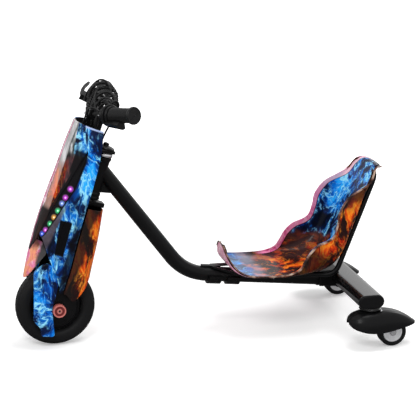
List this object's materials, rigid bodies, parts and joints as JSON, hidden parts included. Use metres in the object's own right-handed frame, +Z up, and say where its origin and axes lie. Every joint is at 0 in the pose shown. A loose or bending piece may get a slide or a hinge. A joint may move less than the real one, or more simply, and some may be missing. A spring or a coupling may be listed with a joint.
{
  "type": "tricycle drifter scooter",
  "caption": "Drift trike scooter: driven front wheel under a tall turning fairing, low bucket seat on a bent tube, and a crossbeam on free-swivelling casters.",
  "frame": {"origin": "centre of the footprint, on the ground", "axes": "+X forward to the front wheel, +Y to the rider's left, +Z up"},
  "size_m": [1.0279, 0.54, 0.7154],
  "materials": {
    "frame_paint": "satin black",
    "beam_gloss": "gloss black",
    "steel": "brushed",
    "black_plastic": "fine grain",
    "soft_rubber": "matt",
    "tyre": "matt tread",
    "motor_black": "black anodised",
    "controller_alloy": "satin",
    "cap_red": "glossy",
    "shield_print": "glossy print",
    "side_print": "glossy print",
    "rear_print": "glossy print",
    "seat_print": "glossy print",
    "light_strip": "glossy",
    "smoke_plastic": "glossy",
    "battery_wrap": "shrink wrap",
    "hub_white": "satin"
  },
  "bodies": {
    "frame": {"head_tube": "frame_paint", "lower_head_cup": "frame_paint", "upper_head_cup": "steel", "main_tube": "frame_paint", "frame_gusset": "frame_paint", "crossbeam": "beam_gloss", "beam_cap_left": "black_plastic", "beam_cap_right": "black_plastic", "beam_saddle": "frame_paint", "seat_shell": "seat_print", "seat_clamp_front": "frame_paint", "seat_clamp_rear": "frame_paint", "front_seat_bracket": "frame_paint", "rear_seat_bracket": "frame_paint", "seat_back_frame": "frame_paint", "caster_pin_left": "beam_gloss", "caster_pin_right": "beam_gloss"},
    "steering": {"steerer": "steel", "lower_yoke": "frame_paint", "upper_yoke": "frame_paint", "steerer_cap": "black_plastic", "fork_leg_left": "frame_paint", "fork_leg_right": "frame_paint", "front_axle": "steel", "axle_cap_left": "cap_red", "axle_cap_right": "cap_red", "stem": "frame_paint", "handlebar": "frame_paint", "grip_left": "soft_rubber", "grip_right": "soft_rubber", "throttle_housing": "black_plastic", "brake_perch": "black_plastic", "bell": "black_plastic", "throttle_cable": "soft_rubber", "brake_cable": "soft_rubber", "front_shield": "shield_print", "side_shell_left": "side_print", "side_shell_right": "side_print", "light_strip_left": "light_strip", "light_strip_right": "light_strip", "nose_guard": "smoke_plastic", "leg_cover_left": "side_print", "leg_cover_right": "side_print", "rear_cover": "rear_print", "battery_pack": "battery_wrap", "motor_controller": "controller_alloy"},
    "front_wheel": {"front_tyre": "tyre", "hub_motor": "motor_black"},
    "throttle_lever": {"throttle_lever": "black_plastic"},
    "brake_lever": {"brake_lever": "beam_gloss"},
    "caster_left": {"caster_housing_left": "black_plastic", "caster_axle_left": "steel"},
    "caster_wheel_left": {"caster_tyre_left": "tyre", "caster_hub_left": "hub_white"},
    "caster_right": {"caster_housing_right": "black_plastic", "caster_axle_right": "steel"},
    "caster_wheel_right": {"caster_tyre_right": "tyre", "caster_hub_right": "hub_white"}
  },
  "joints": [
    {"name": "steering_turn", "type": "hinge", "parent": "frame", "child": "steering", "pos_m": [0.409, 0, 0.105], "axis": [-0.309, 0, 0.9511], "range_deg": [-45, 45]},
    {"name": "front_wheel_spin", "type": "hinge", "parent": "steering", "child": "front_wheel", "pos_m": [0.409, 0, 0.105], "axis": [0, 1, 0], "continuous": true},
    {"name": "throttle_press", "type": "hinge", "parent": "steering", "child": "throttle_lever", "pos_m": [0.23631, 0.16, 0.64296], "axis": [0.4522, -0.8752, -0.1716], "range_deg": [0, 25], "stiffness_Nm_per_rad": 0.1, "springref_deg": -17.19},
    {"name": "brake_pull", "type": "hinge", "parent": "steering", "child": "brake_lever", "pos_m": [0.31061, -0.0917, 0.64225], "axis": [0.292, -0.3271, -0.8987], "range_deg": [0, 12], "stiffness_Nm_per_rad": 0.5, "springref_deg": -17.19},
    {"name": "caster_swivel_left", "type": "hinge", "parent": "frame", "child": "caster_left", "pos_m": [-0.389, 0.225, 0.09], "axis": [0, 0, 1], "continuous": true},
    {"name": "caster_spin_left", "type": "hinge", "parent": "caster_left", "child": "caster_wheel_left", "pos_m": [-0.45, 0.225, 0.0375], "axis": [0, 1, 0], "continuous": true},
    {"name": "caster_swivel_right", "type": "hinge", "parent": "frame", "child": "caster_right", "pos_m": [-0.389, -0.225, 0.09], "axis": [0, 0, 1], "continuous": true},
    {"name": "caster_spin_right", "type": "hinge", "parent": "caster_right", "child": "caster_wheel_right", "pos_m": [-0.45, -0.225, 0.0375], "axis": [0, 1, 0], "continuous": true}
  ]
}
